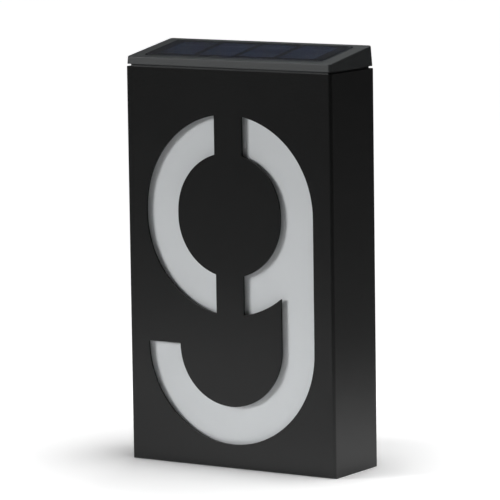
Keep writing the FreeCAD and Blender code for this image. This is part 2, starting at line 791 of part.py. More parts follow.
def make_chip():
    """Driver chip with gull-wing legs along both long sides."""
    x = driver_left + chip_inset_x
    y = driver_front_y + chip_inset_y
    z = driver_top_z
    solids = [block(x - chip_length / 2, x + chip_length / 2, y - chip_width / 2, y + chip_width / 2,
                    z + chip_standoff, z + chip_standoff + chip_height)]
    for i in range(chip_legs_a_side):
        leg_x = x + (i - (chip_legs_a_side - 1) / 2) * chip_leg_pitch
        for side in (-1, 1):
            near, far = sorted((side * chip_width / 2, side * (chip_width / 2 + chip_leg_reach)))
            knee0, knee1 = sorted((side * chip_width / 2, side * (chip_width / 2 + chip_leg / 2)))
            solids.append(block(leg_x - chip_leg / 2, leg_x + chip_leg / 2, y + near, y + far,
                                z, z + chip_leg / 2))
            solids.append(block(leg_x - chip_leg / 2, leg_x + chip_leg / 2, y + knee0, y + knee1,
                                z, z + chip_height / 2))
    return fused(solids)


def make_resistors():
    """A row of chip resistors, each with a soldered cap at either end."""
    chips = []
    for i in range(resistor_count):
        x = driver_left + resistor_inset_x + i * resistor_spacing
        y = driver_front_y + resistor_inset_y
        cap = resistor_cap
        body = block(x, x + resistor_width, y + cap, y + resistor_length - cap,
                     driver_top_z, driver_top_z + resistor_height)
        ends = [block(x, x + resistor_width, y0, y0 + cap, driver_top_z,
                      driver_top_z + resistor_height + resistor_solder)
                for y0 in (y, y + resistor_length - cap)]
        chips.append(fused([body] + ends))
    return Part.makeCompound(chips)


# ---- slide switch --------------------------------------------------------------------------------
def make_switch_body():
    """Switch case soldered to the board, with a slot in its back for the slider."""
    x0, x1 = switch_x - switch_length / 2, switch_x + switch_length / 2
    y0 = switch_back_y - switch_depth
    case = block(x0, x1, y0, switch_back_y, driver_top_z, driver_top_z + switch_height)
    reach = (switch_travel + slider_plate_length) / 2 + slide_clearance
    room_half = switch_height / 2 - switch_skin
    room = block(switch_x - reach, switch_x + reach,
                 switch_back_y - switch_skin - slider_plate - 2 * slide_clearance,
                 switch_back_y - switch_skin, switch_centre_z - room_half, switch_centre_z + room_half)
    slot_x = (switch_travel + knob_length) / 2 + slide_clearance
    slot_z = knob_height / 2 + slide_clearance / 2
    slot = block(switch_x - slot_x, switch_x + slot_x, switch_back_y - switch_skin - slide_clearance,
                 switch_back_y + overlap, switch_centre_z - slot_z, switch_centre_z + slot_z)
    return case.cut(Part.makeCompound([room, slot]))


def make_switch_slider():
    """Slider at its off stop: a guide plate inside the case and a knob that reaches through the wall."""
    x = switch_x - switch_travel / 2
    plate_y1 = switch_back_y - switch_skin - slide_clearance
    half = switch_height / 2 - switch_skin - slide_clearance
    plate = block(x - slider_plate_length / 2, x + slider_plate_length / 2, plate_y1 - slider_plate,
                  plate_y1, switch_centre_z - half, switch_centre_z + half)
    knob = block(x - knob_length / 2, x + knob_length / 2, plate_y1 - slider_plate / 2,
                 neck_half_y + knob_proud, switch_centre_z - knob_height / 2,
                 switch_centre_z + knob_height / 2)
    tip = [e for e in knob.Edges if e.CenterOfMass.y > neck_half_y + knob_proud - pick_reach]
    return fused([plate, knob.makeFillet(knob_round, tip)])


# ---- wires ---------------------------------------------------------------------------------------
def ring(centre, along, radius):
    """Many-sided outline round a point, square to the direction the wire starts in."""
    across = along.cross(Vector(0, 1, 0) if abs(along.y) < nearly_parallel else Vector(1, 0, 0)).normalize()
    beside = along.cross(across).normalize()
    corners = []
    for i in range(wire_sides + 1):
        turn = 2 * math.pi * (i + 0.5) / wire_sides
        corners.append(centre + across * (radius * math.cos(turn)) + beside * (radius * math.sin(turn)))
    return Part.makePolygon(corners)


def flat_end(centre, size_x, size_y):
    """Outline of a flat twin lead that starts upright."""
    x, y = size_x / 2, size_y / 2
    corners = [centre + Vector(dx, dy, 0) for dx, dy in ((-x, -y), (x, -y), (x, y), (-x, y), (-x, -y))]
    return Part.makePolygon(corners)


def lead(name, points, section, area):
    """A wire of straight runs joined by tangent arcs, each as large as its two runs allow."""
    edges = []
    bends = []
    start = points[0]
    for before, corner, after in zip(points, points[1:], points[2:]):
        to_here = (corner - before).normalize()
        onward = (after - corner).normalize()
        half_turn = to_here.getAngle(onward) / 2
        setback = bend_share * min((corner - before).Length, (after - corner).Length)
        bend = setback / math.tan(half_turn)
        middle = (onward - to_here).normalize() * (bend / math.cos(half_turn) - bend)
        enter = corner - to_here * setback
        leave = corner + onward * setback
        edges.append(Part.LineSegment(start, enter).toShape())
        edges.append(Part.Arc(enter, corner + middle, leave).toShape())
        bends.append(round(bend, 1))
        start = leave
    edges.append(Part.LineSegment(start, points[-1]).toShape())
    path = Part.Wire(edges)
    wire = path.makePipeShell([section], True, False)
    share = wire.Volume / (area * path.Length)
    print(f"{name}: bends {bends}, volume over section times length {share:.4f}")
    return wire


def single_lead(name, points):
    section = ring(points[0], (points[1] - points[0]).normalize(), wire_radius)
    area = wire_sides / 2 * wire_radius ** 2 * math.sin(2 * math.pi / wire_sides)
    return lead(name, points, section, area)


def twin_lead(name, points, size_x, size_y):
    """Two wires moulded side by side; the route lies in a plane square to the wider way."""
    return lead(name, points, flat_end(points[0], size_x, size_y), size_x * size_y)


def solar_lead_centre():
    """Plan position of the panel's wires, above the middle of the driver board."""
    return driver_left + solar_lead_inset_x, driver_front_y + solar_lead_inset_y


def panel_underside(y):
    rise = (adhesive_thickness - recess_depth) / math.cos(math.radians(slope_angle))
    return slope_height(y) + rise


def make_solar_lead():
    """Twin lead of the panel, from under its board down to the driver board."""
    x, y = solar_lead_centre()
    high = panel_underside(y - wire_radius)
    reach = (high - driver_top_z) / 3
    return twin_lead("solar_lead", [
        Vector(x, y, high), Vector(x, y, high - reach),
        Vector(x, y - solar_lead_sway, high - 2 * reach), Vector(x, y - solar_lead_sway, driver_top_z),
    ], 4 * wire_radius, 2 * wire_radius)


def make_lamp_lead():
    """Twin lead from the lamp board, in an arch over the edge of the driver board."""
    foot_x = driver_left - lamp_lead_outside
    top_x = driver_left + lamp_lead_inside
    y = lamp_row_y
    high = driver_top_z + lamp_lead_rise
    return twin_lead("lamp_lead", [
        Vector(foot_x, y, base_top_z + lamp_board_thickness), Vector(foot_x, y, high),
        Vector(top_x, y, high), Vector(top_x, y, driver_top_z),
    ], 2 * wire_radius, 4 * wire_radius)


def make_battery_lead_plus():
    """Wire from the left contact, over the cradle's wall and along in front of the cell."""
    x = plus_wall_x + contact_thickness / 2
    y = -saddle_half_width - battery_lead_gap
    top = base_top_z + cradle_wall_height
    low = base_top_z + battery_lead_lift
    foot_x = driver_left + battery_plus_foot_x
    foot_y = driver_front_y + battery_plus_foot_y
    run = (driver_left - x) / 4
    return single_lead("battery_lead_plus", [
        Vector(x, 0, top), Vector(x, 0, top + lead_arch),
        Vector(x, y + lead_arch, top + lead_arch - lead_arch_fall),
        Vector(x + run / 3, y, low + lead_dip),
        Vector(x + run, y, low),
        Vector(x + 3 * run, y - lead_bow, low + lead_bow_rise),
        Vector(driver_left, y + lead_climb_in, low + lead_climb),
        Vector(foot_x, foot_y, driver_top_z + lead_foot_drop),
        Vector(foot_x, foot_y, driver_top_z),
    ])


def make_battery_lead_minus():
    """Short wire from the leaf contact over to the driver board."""
    x = minus_wall_x - contact_thickness / 2
    top = base_top_z + cradle_wall_height
    foot_x = driver_left + battery_minus_foot_x
    foot_y = driver_front_y + battery_minus_foot_y
    return single_lead("battery_lead_minus", [
        Vector(x, 0, top), Vector(x, 0, top + lead_arch),
        Vector(foot_x, foot_y, top + lead_arch - 2 * lead_arch_fall),
        Vector(foot_x, foot_y, driver_top_z),
    ])


nodes = {
    "sleeve": make_sleeve,
    "diffuser": make_diffuser,
    "diffuser_tape": make_diffuser_tape,
    "back_cover": make_back_cover,
    "reflector": make_reflector,
    "head_cover": make_head_cover,
    "head_base": make_head_base,
    "base_screws": make_base_screws,
    "panel_adhesive": make_panel_adhesive,
    "panel_board": make_panel_board,
    "solar_cells": make_solar_cells,
    "panel_resin": make_panel_resin,
    "lamp_lens": make_lamp_lens,
    "lamp_board": make_lamp_board,
    "lamps": make_lamps,
    "battery": make_battery,
    "plus_contact": make_plus_contact,
    "minus_contact": make_minus_contact,
    "driver_board": make_driver_board,
    "driver_coil": make_coil,
    "driver_capacitor": make_capacitor,
    "driver_chip": make_chip,
    "driver_resistors": make_resistors,
    "switch_body": make_switch_body,
    "switch_slider": make_switch_slider,
    "solar_lead": make_solar_lead,
    "lamp_lead": make_lamp_lead,
    "battery_lead_plus": make_battery_lead_plus,
    "battery_lead_minus": make_battery_lead_minus,
}

os.makedirs("parts", exist_ok=True)
for name, make in nodes.items():
    shape = make()
    shape.exportStep(os.path.join("parts", name + ".step"))
    print(f"{name}: {len(shape.Solids)} solid(s), {shape.Volume:.1f} mm3, valid {shape.isValid()}")
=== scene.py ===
import json
import math

import bmesh
import bpy
from mathutils import Matrix, Vector


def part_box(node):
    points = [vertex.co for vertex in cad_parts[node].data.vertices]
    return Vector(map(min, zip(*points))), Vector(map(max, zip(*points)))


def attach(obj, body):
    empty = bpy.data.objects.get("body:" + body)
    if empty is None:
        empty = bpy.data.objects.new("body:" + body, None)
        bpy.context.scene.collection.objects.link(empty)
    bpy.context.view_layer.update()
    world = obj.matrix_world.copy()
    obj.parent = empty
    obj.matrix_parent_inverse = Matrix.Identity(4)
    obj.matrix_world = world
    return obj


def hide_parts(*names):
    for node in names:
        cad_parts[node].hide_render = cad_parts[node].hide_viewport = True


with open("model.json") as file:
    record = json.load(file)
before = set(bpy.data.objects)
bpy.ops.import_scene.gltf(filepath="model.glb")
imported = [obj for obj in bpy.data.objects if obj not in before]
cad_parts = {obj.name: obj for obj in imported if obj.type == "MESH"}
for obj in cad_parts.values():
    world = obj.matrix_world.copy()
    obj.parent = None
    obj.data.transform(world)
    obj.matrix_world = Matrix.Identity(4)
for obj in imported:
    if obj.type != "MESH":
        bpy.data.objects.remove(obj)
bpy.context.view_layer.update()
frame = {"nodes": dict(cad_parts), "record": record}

mm = 0.001


# ---- The view ------------------------------------------------------------------------------------
# The sign stands on a pale floor, seen from its right and from a little above its top, by a camera
# nearly two metres away. One broad soft lamp stands to the front left, and small ones light the lid,
# the floor beside the sign and the back.
camera_place = (1.025376, -1.588666, 0.355999)
camera_right = (0.840913, 0.540991, -0.013906)
camera_up = (-0.060253, 0.119131, 0.991049)
camera_back = (0.537805, -0.832548, 0.132776)
camera_lens = 288.0

camera = bpy.data.objects.new("view", bpy.data.cameras.new("view"))
camera.data.lens = camera_lens
camera.data.sensor_width = 36.0
camera.data.clip_start = 0.05
camera.data.clip_end = 30.0
facing = Matrix((camera_right, camera_up, camera_back)).transposed()
camera.matrix_world = Matrix.Translation(camera_place) @ facing.to_4x4()
bpy.context.scene.collection.objects.link(camera)
bpy.context.scene.camera = camera
bpy.context.scene.view_settings.view_transform = "Standard"


def soft_light(name, place, target, size, watts, cone):
    """A round soft lamp that faces a point, its beam fading out towards the edge of a cone."""
    lamp = bpy.data.lights.new(name, "SPOT")
    lamp.energy = watts
    lamp.shadow_soft_size = size / 2
    lamp.spot_size = math.radians(cone)
    lamp.spot_blend = 1.0
    holder = bpy.data.objects.new(name, lamp)
    aim = (Vector(target) - Vector(place)).to_track_quat("-Z", "Y")
    holder.matrix_world = Matrix.Translation(place) @ aim.to_matrix().to_4x4()
    bpy.context.scene.collection.objects.link(holder)


soft_light("left_spot", (-2.15, -2.05, 1.0), (0.1, -0.15, 0.1), size=1.4, watts=460.0, cone=26)
soft_light("overhead_spot", (0.10, 0.01, 1.0), (0.10, 0.01, 0), size=0.3, watts=28.0, cone=34)
soft_light("floor_spot", (-0.22, -0.27, 1.0), (-0.22, -0.27, 0), size=0.2, watts=20.0, cone=28)
soft_light("edge_spot", (-0.86, 0.0, 1.5), (-0.03, 0, 0.15), size=0.5, watts=8.0, cone=30)
soft_light("back_fill", (-0.7, 2.2, 0.6), (0, 0, 0.12), size=0.8, watts=90.0, cone=20)


# ---- Surroundings --------------------------------------------------------------------------------
# The backdrop is plain white where it is seen straight, and shows only a little in gloss. The floor
# is matt white paper, which the lamps light near the sign and which is plain white further out.
class Tone:
    """A socket in a finish's node tree, which takes part in sums like a number."""

    def __init__(self, tree, socket=None):
        self.tree = tree
        self.socket = socket

    def node(self, kind, settings=None, sockets=None, output=0):
        """Any other node: its settings first, then the values or links of its sockets."""
        made = self.tree.nodes.new("ShaderNode" + kind)
        for key, value in (settings or {}).items():
            setattr(made, key, value)
        for key, value in (sockets or {}).items():
            target = made.inputs[key]
            if isinstance(value, Tone):
                self.tree.links.new(value.socket, target)
            else:
                target.default_value = value
        return Tone(self.tree, made.outputs[output])

    def maths(self, operation, *others):
        sockets = dict(enumerate((self,) + others))
        return self.node("Math", {"operation": operation}, sockets)

    def __add__(self, other):
        return self.maths("ADD", other)

    __radd__ = __add__

    def __mul__(self, other):
        return self.maths("MULTIPLY", other)

    __rmul__ = __mul__

    def __sub__(self, other):
        return self.maths("SUBTRACT", other)

    def __rsub__(self, other):
        return self.node("Math", {"operation": "SUBTRACT"}, {0: other, 1: self})

    def ramp(self, low, high):
        """0 below the low value, 1 above the high one, smooth between."""
        settings = {"interpolation_type": "SMOOTHSTEP"}
        return self.node("MapRange", settings, {"Value": self, "From Min": low, "From Max": high})


def blend_colours(share, first, second):
    """One colour turning into another as the share goes from 0 to 1; each is a triple or a tone."""
    first, second = [shade if isinstance(shade, Tone) else (*shade, 1.0) for shade in (first, second)]
    return share.node("Mix", {"data_type": "RGBA"}, {0: share, 6: first, 7: second}, output=2)


class Finish:
    """A painted, moulded or plated surface: its material, its shader and the place of each point."""

    def __init__(self, name, **fixed):
        self.material = bpy.data.materials.new(name)
        self.material.use_nodes = True
        tree = self.material.node_tree
        self.shader = tree.nodes["Principled BSDF"]
        for key, value in fixed.items():
            self.shader.inputs[key.replace("_", " ")].default_value = value
        self.start = Tone(tree)
        self.place = self.start.node("TexCoord", output=3)

    def noise(self, size, detail=2.0):
        """Cloudy variation from 0 to 1 whose patches are about this many metres across."""
        settings = {"noise_dimensions": "3D"}
        sockets = {"Vector": self.place, "Scale": 1.0 / size, "Detail": detail}
        return self.start.node("TexNoise", settings, sockets)

    def streaks(self, size, along, stretch):
        """Cloudy variation drawn out along one axis, as a roller, a flow front or a gun leaves it."""
        scale = [1.0, 1.0, 1.0]
        scale["XYZ".index(along)] = 1.0 / stretch
        drawn = self.start.node("Mapping", None, {"Vector": self.place, "Scale": scale})
        return self.start.node("TexNoise", None, {"Vector": drawn, "Scale": 1.0 / size, "Detail": 3.0})

    def speckle(self, size):
        """Distance from the nearest of many scattered points, 0 at the points."""
        sockets = {"Vector": self.place, "Scale": 1.0 / size}
        return self.start.node("TexVoronoi", {"voronoi_dimensions": "3D"}, sockets)

    def axis(self, letter):
        """The X, Y or Z of each point, in metres."""
        return self.start.node("SeparateXYZ", None, {"Vector": self.place}, output="XYZ".index(letter))

    def set(self, key, tone):
        self.start.tree.links.new(tone.socket, self.shader.inputs[key])

    def mottle(self, size, first, second, detail=2.0):
        """Lets the base colour drift between two close colours, in patches about this size across."""
        patches = self.noise(size, detail)
        self.set("Base Color", blend_colours(patches, first, second))
        return patches

    def bump(self, height, distance):
        """Height from 0 to 1 as a relief this many metres deep."""
        sockets = {"Height": height, "Distance": distance, "Strength": 1.0}
        self.set("Normal", self.start.node("Bump", None, sockets))


gloss_share = 0.03
sky_level = 0.02


def pale_share(start):
    """How much of the white surroundings a ray takes up: all where it is seen straight or through
    something clear, a part in gloss, as in a studio that is white behind the object and dark in
    front of it, and none once the ray has left a matt surface, so that it lights nothing."""
    straight = start.node("LightPath", output="Is Camera Ray")
    clear = start.node("LightPath", output="Is Transmission Ray")
    gloss = start.node("LightPath", output="Is Glossy Ray")
    glanced = start.node("LightPath", output="Glossy Depth").maths("GREATER_THAN", 0.5)
    matt = start.node("LightPath", output="Diffuse Depth").maths("GREATER_THAN", 0.5)
    seen = straight.maths("MAXIMUM", clear).maths("MAXIMUM", gloss)
    return seen * (1 - (1 - gloss_share) * glanced) * (1 - matt)


world = bpy.data.worlds.new("studio")
bpy.context.scene.world = world
world.use_nodes = True
sky = world.node_tree.nodes["Background"]
sky.inputs["Color"].default_value = (1.0, 1.0, 1.0, 1.0)
sky_tone = sky_level + (1 - sky_level) * pale_share(Tone(world.node_tree))
world.node_tree.links.new(sky_tone.socket, sky.inputs["Strength"])

floor_half = 6.0
floor_level = -0.02 * mm
shadow_reach = 20 * mm
white_from = 220 * mm
floor_mesh = bpy.data.meshes.new("floor")
floor_mesh.from_pydata(
    [(-floor_half, -floor_half, floor_level), (floor_half, -floor_half, floor_level),
     (floor_half, floor_half, floor_level), (-floor_half, floor_half, floor_level)], [], [(0, 1, 2, 3)])
floor = bpy.data.objects.new("floor", floor_mesh)
bpy.context.scene.collection.objects.link(floor)
paper = Finish("white_paper", Roughness=1.0, Specular_IOR_Level=0.0, Emission_Strength=1.0)
paper.mottle(0.002, (0.96, 0.96, 0.96), (0.98, 0.98, 0.98))
from_sign = (paper.axis("X").maths("POWER", 2.0) + paper.axis("Y").maths("POWER", 2.0)).maths("SQRT")
paper.set("Emission Color", from_sign.ramp(shadow_reach, white_from) * pale_share(paper.start))
floor_mesh.materials.append(paper.material)


# ---- Sleeve --------------------------------------------------------------------------------------
# One sheet of steel 1.2 mm thick, laser cut with the stencil, folded into front, sides, floor and
# rear flanges, and powder coated satin black. The coat rounds every edge a little and has a faint
# orange peel.
def dressed(node, finish):
    """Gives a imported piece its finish, in the slot that it already has."""
    mesh = frame["nodes"][node].data
    mesh.materials.clear()
    mesh.materials.append(finish.material)


def settled(piece):
    """Works the piece's modifiers into a plain mesh."""
    graph = bpy.context.evaluated_depsgraph_get()
    mesh = bpy.data.meshes.new_from_object(piece.evaluated_get(graph), depsgraph=graph)
    piece.modifiers.clear()
    piece.data = mesh
    return piece


def placed(piece, node):
    """Puts a finished piece in the place of an imported one: on the same body, with the imported one
    hidden.
    """
    bodies = frame["record"]["behaviour"]["bodies"]
    body = next(name for name, members in bodies.items() if node in members)
    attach(piece, body)
    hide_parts(node)
    return piece


weld = 0.002 * mm
flat_angle = math.radians(0.5)
rounded_angle = math.radians(28)
crisp_angle = math.radians(50)


def softened(node, edge, finish):
    """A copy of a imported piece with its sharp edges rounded; it stands for that piece."""
    mesh = frame["nodes"][node].data.copy()
    solid = bmesh.new()
    solid.from_mesh(mesh)
    bmesh.ops.remove_doubles(solid, verts=solid.verts, dist=weld)
    bmesh.ops.dissolve_limit(solid, angle_limit=flat_angle, verts=solid.verts, edges=solid.edges)
    sharp = [e for e in solid.edges if len(e.link_faces) == 2 and e.calc_face_angle(0) > rounded_angle]
    bmesh.ops.bevel(solid, geom=sharp, offset=edge, offset_type="OFFSET", segments=2, profile=0.5,
                    affect="EDGES", clamp_overlap=True, miter_outer="SHARP")
    for face in solid.faces:
        face.smooth = True
    for line in solid.edges:
        line.smooth = line.calc_face_angle(0) < crisp_angle
    solid.to_mesh(mesh)
    solid.free()
    mesh.materials.clear()
    mesh.materials.append(finish.material)
    piece = bpy.data.objects.new(node + "_finished", mesh)
    bpy.context.scene.collection.objects.link(piece)
    even = piece.modifiers.new("even", "WEIGHTED_NORMAL")
    even.keep_sharp = True
    even.weight = 100
    return placed(settled(piece), node)


powder_coat = Finish("black_powder_coat")
grain = powder_coat.noise(0.0011, detail=3.0)
patches = powder_coat.mottle(0.035, (0.0036, 0.0038, 0.0038), (0.0050, 0.0052, 0.0052))
drift = powder_coat.streaks(0.006, "Z", 14.0)
powder_coat.set("Roughness", 0.17 + 0.05 * grain + 0.03 * patches + 0.03 * drift)
powder_coat.bump(grain, 0.00003)
softened("sleeve", 0.12 * mm, powder_coat)


# ---- Diffuser and its tape -----------------------------------------------------------------------
# A sheet of opal acrylic, milky through and through, held 1 mm behind the front by black foam tape.
# It is unlit here, so it shows as a plain cool white.
opal = Finish("opal_acrylic", Roughness=0.32, Subsurface_Weight=0.08, Subsurface_Scale=0.002,
              Subsurface_Radius=(1.0, 1.0, 1.0))
opal.mottle(0.03, (0.78, 0.805, 0.82), (0.80, 0.825, 0.84))
opal.bump(opal.noise(0.006), 0.00002)
dressed("diffuser", opal)

foam = Finish("black_foam", Roughness=0.9)
# Pits in the foam: the bump sinks them, and the colour is made darker in them, which is painted shade in
# the pores.
pores = foam.speckle(0.0004)
foam.set("Base Color", blend_colours(pores.ramp(0.1, 0.6), (0.012, 0.012, 0.012),
                                     (0.03, 0.03, 0.03)))
foam.bump(pores, 0.0001)
dressed("diffuser_tape", foam)


# ---- Back cover and reflector --------------------------------------------------------------------
# The back cover is a black moulding with a fine spark-eroded texture. A folded sheet of matt white
# plastic lies inside it and throws the light forward.
black_moulding = Finish("black_moulding")
texture = black_moulding.noise(0.0005, detail=3.0)
black_moulding.mottle(0.02, (0.034, 0.038, 0.039), (0.042, 0.046, 0.047))
black_moulding.set("Roughness", 0.42 + 0.12 * texture)
black_moulding.bump(texture, 0.00004)
softened("back_cover", 0.15 * mm, black_moulding)

white_sheet = Finish("white_reflector", Roughness=0.6)
white_sheet.mottle(0.004, (0.84, 0.84, 0.82), (0.88, 0.88, 0.86))
dressed("reflector", white_sheet)


# ---- Head cover ----------------------------------------------------------------------------------
# Lid and neck are one black moulding, in the same material and texture as the back cover. The lid
# slopes to the front, and its rim stands round the panel.
softened("head_cover", 0.2 * mm, black_moulding)


# ---- Solar panel ---------------------------------------------------------------------------------
# Four dark blue cells lie side by side on a dark board, under a clear cast resin, and the board is
# bonded into the lid's recess.
panel_board = Finish("dark_panel_board", Roughness=0.45)
panel_board.mottle(0.0006, (0.003, 0.005, 0.010), (0.006, 0.009, 0.016))
dressed("panel_board", panel_board)

silicon = Finish("silicon_cell", Roughness=0.32)
crystal = silicon.speckle(0.0035)
depth_of_blue = silicon.noise(0.012)
silicon.set("Base Color", blend_colours(0.6 * depth_of_blue + 0.4 * crystal.ramp(0.0, 0.9),
                                        (0.012, 0.040, 0.125), (0.024, 0.062, 0.170)))
silicon.bump(silicon.noise(0.0004), 0.000015)
dressed("solar_cells", silicon)


class Layout:
    """Geometry nodes for what repeats: named sizes and a few points go in, one plain mesh comes out."""

    def __init__(self, name, **sizes):
        self.name = name
        self.tree = bpy.data.node_groups.new(name, "GeometryNodeTree")
        face = self.tree.interface
        face.new_socket("Points", in_out="INPUT", socket_type="NodeSocketGeometry")
        face.new_socket("Pieces", in_out="OUTPUT", socket_type="NodeSocketGeometry")
        self.sizes = {}
        for key, value in sizes.items():
            kind = "NodeSocketInt" if isinstance(value, int) else "NodeSocketFloat"
            self.sizes[face.new_socket(key, in_out="INPUT", socket_type=kind).identifier] = value
        self.entry = self.tree.nodes.new("NodeGroupInput").outputs

    def node(self, kind, sockets, output=0):
        made = self.tree.nodes.new("GeometryNode" + kind if kind[:6] != "Shader" else kind)
        for key, value in sockets.items():
            if isinstance(value, bpy.types.NodeSocket):
                self.tree.links.new(value, made.inputs[key])
            else:
                made.inputs[key].default_value = value
        return made.outputs[output]

    def vector(self, x=0.0, y=0.0, z=0.0):
        return self.node("ShaderNodeCombineXYZ", {"X": x, "Y": y, "Z": z})

    def row(self, shape, count, step):
        """The shape repeated on a row of points, each a step from the last."""
        points = self.node("MeshLine", {"Count": count, "Offset": step})
        return self.node("InstanceOnPoints", {"Points": points, "Instance": shape})

    def piece(self, shapes, points, finish):
        """Puts the shapes on the points and works the tree into a plain mesh."""
        group = shapes[0] if len(shapes) == 1 else self.joined(shapes)
        spread = self.node("InstanceOnPoints", {"Points": self.entry["Points"], "Instance": group})
        solid = self.node("RealizeInstances", {"Geometry": spread})
        coated = self.node("SetMaterial", {"Geometry": solid, "Material": finish.material})
        self.tree.links.new(coated, self.tree.nodes.new("NodeGroupOutput").inputs[0])
        seeds = bpy.data.meshes.new(self.name)
        seeds.from_pydata(points, [], [])
        holder = bpy.data.objects.new(self.name, seeds)
        bpy.context.scene.collection.objects.link(holder)
        pattern = holder.modifiers.new("pattern", "NODES")
        pattern.node_group = self.tree
        for identifier, value in self.sizes.items():
            pattern[identifier] = value
        return settled(holder)

    def joined(self, shapes):
        made = self.tree.nodes.new("GeometryNodeJoinGeometry")
        for shape in reversed(shapes):
            self.tree.links.new(shape, made.inputs[0])
        return made.outputs[0]


def spread_over(node, count, gap):
    """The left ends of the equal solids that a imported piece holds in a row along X, and their width."""
    low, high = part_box(node)
    width = (high.x - low.x - (count - 1) * gap) / count
    return [low.x + i * (width + gap) for i in range(count)], width


# Each cell carries thin printed silver fingers up the slope and two wider bars across them. The print
# sits a little to the back on the sloping cell, so that it sinks into it.
cell_count = 4
cell_gap = 3.2 * mm
cell_length = 22.6 * mm
finger_count = 12
finger_width = 0.07 * mm
finger_pitch = 1.6 * mm
bar_width = 0.9 * mm
bar_offset = 5.5 * mm
print_height = 0.02 * mm
print_margin = 0.6 * mm
print_set_back = 0.03 * mm
slope = math.radians(9.14)

cell_lefts, cell_width = spread_over("solar_cells", cell_count, cell_gap)
cell_low, cell_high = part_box("solar_cells")
cell_middle_y = cell_low.y + cell_length * math.cos(slope) / 2 + print_set_back
cell_middle_z = cell_high.z - math.sin(slope) * cell_length / 2
fingers_width = finger_pitch * (finger_count - 1)

cell_print = Layout("cell_print", finger=finger_width, pitch=finger_pitch, bar=bar_width,
                    height=print_height, length=cell_length - 2 * print_margin,
                    width=cell_width - 2 * print_margin, fingers=finger_count)
entry = cell_print.entry
finger = cell_print.node("MeshCube", {
    "Size": cell_print.vector(entry["finger"], entry["length"], entry["height"])})
finger_row = cell_print.row(finger, entry["fingers"], cell_print.vector(entry["pitch"]))
bar = cell_print.node("MeshCube", {
    "Size": cell_print.vector(entry["width"], entry["bar"], entry["height"])})
bar_rows = [cell_print.node("Transform", {"Geometry": bar, "Translation": (fingers_width / 2, y, 0)})
            for y in (-bar_offset, bar_offset)]
silver = Finish("printed_silver", Metallic=0.6, Roughness=0.45)
silver.mottle(0.003, (0.10, 0.12, 0.16), (0.16, 0.18, 0.22))
finger_print = cell_print.piece([finger_row] + bar_rows, [
    (left + (cell_width - fingers_width) / 2, 0, 0) for left in cell_lefts], silver)
on_slope = Matrix.Translation((0, cell_middle_y, cell_middle_z)) @ Matrix.Rotation(slope, 4, "X")
finger_print.data.transform(on_slope)
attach(finger_print, "solar_head")

resin = Finish("clear_resin", IOR=1.3, Transmission_Weight=1.0, Specular_IOR_Level=0.3)
ripple = resin.mottle(0.012, (0.90, 0.94, 1.0), (0.95, 0.97, 1.0))
resin.set("Roughness", 0.08 + 0.05 * ripple)
resin.bump(ripple, 0.0001)
dressed("panel_resin", resin)

glue = Finish("cured_adhesive", Roughness=0.5)
glue.mottle(0.003, (0.02, 0.02, 0.02), (0.04, 0.04, 0.04))
dressed("panel_adhesive", glue)


# ---- Head base and its screws --------------------------------------------------------------------
# A black moulded plate closes the neck. Four zinc-plated screws hold it from below, each with a pan
# head and a cross recess.
softened("head_base", 0.1 * mm, black_moulding)

zinc = Finish("zinc_plate", Metallic=1.0)
wear = zinc.mottle(0.0008, (0.55, 0.56, 0.57), (0.72, 0.72, 0.70), detail=3.0)
zinc.set("Roughness", 0.25 + 0.15 * wear)


ring_angle = math.radians(35)


def lathed(name, profile, sides):
    """A turned mesh round the Z axis from radius and height pairs, its sharp rings kept crisp."""
    turned = bmesh.new()
    rings = {}
    for radius, height in profile:
        if (radius, height) not in rings:
            turns = [2 * math.pi * i / sides for i in range(sides if radius else 1)]
            ring = [turned.verts.new((radius * math.cos(angle), radius * math.sin(angle), height))
                    for angle in turns]
            rings[radius, height] = ring if radius else ring * sides
    for lower, upper in zip(profile, profile[1:]):
        for i in range(sides):
            j = (i + 1) % sides
            around = (rings[lower][i], rings[lower][j], rings[upper][j], rings[upper][i])
            turned.faces.new(list(dict.fromkeys(around)))
    bmesh.ops.recalc_face_normals(turned, faces=turned.faces)
    for face in turned.faces:
        face.smooth = True
    for line in turned.edges:
        line.smooth = line.calc_face_angle(0) < ring_angle
    mesh = bpy.data.meshes.new(name)
    turned.to_mesh(mesh)
    turned.free()
    piece = bpy.data.objects.new(name, mesh)
    bpy.context.scene.collection.objects.link(piece)
    return piece


# A screw's outline and its cross recess, in shares of the head's and the shank's sizes.
square = ((-1, -1), (1, -1), (1, 1), (-1, 1))
head_profile = ((0, 1), (0.45, 0.97), (0.8, 0.8), (0.97, 0.5), (1, 0.2), (1, 0))
core_share = 0.82
tip_share = 0.4
thread_start = 0.4 * mm
cross_arm_share = 0.52
cross_half_share = 0.13
cross_depth_share = 0.62
cross_foot_shares = (0.35, 0.6)
cross_reach_out = 1.2
block_faces = ((0, 1, 2, 3), (7, 6, 5, 4), (0, 4, 5, 1), (1, 5, 6, 2), (2, 6, 7, 3), (3, 7, 4, 0))


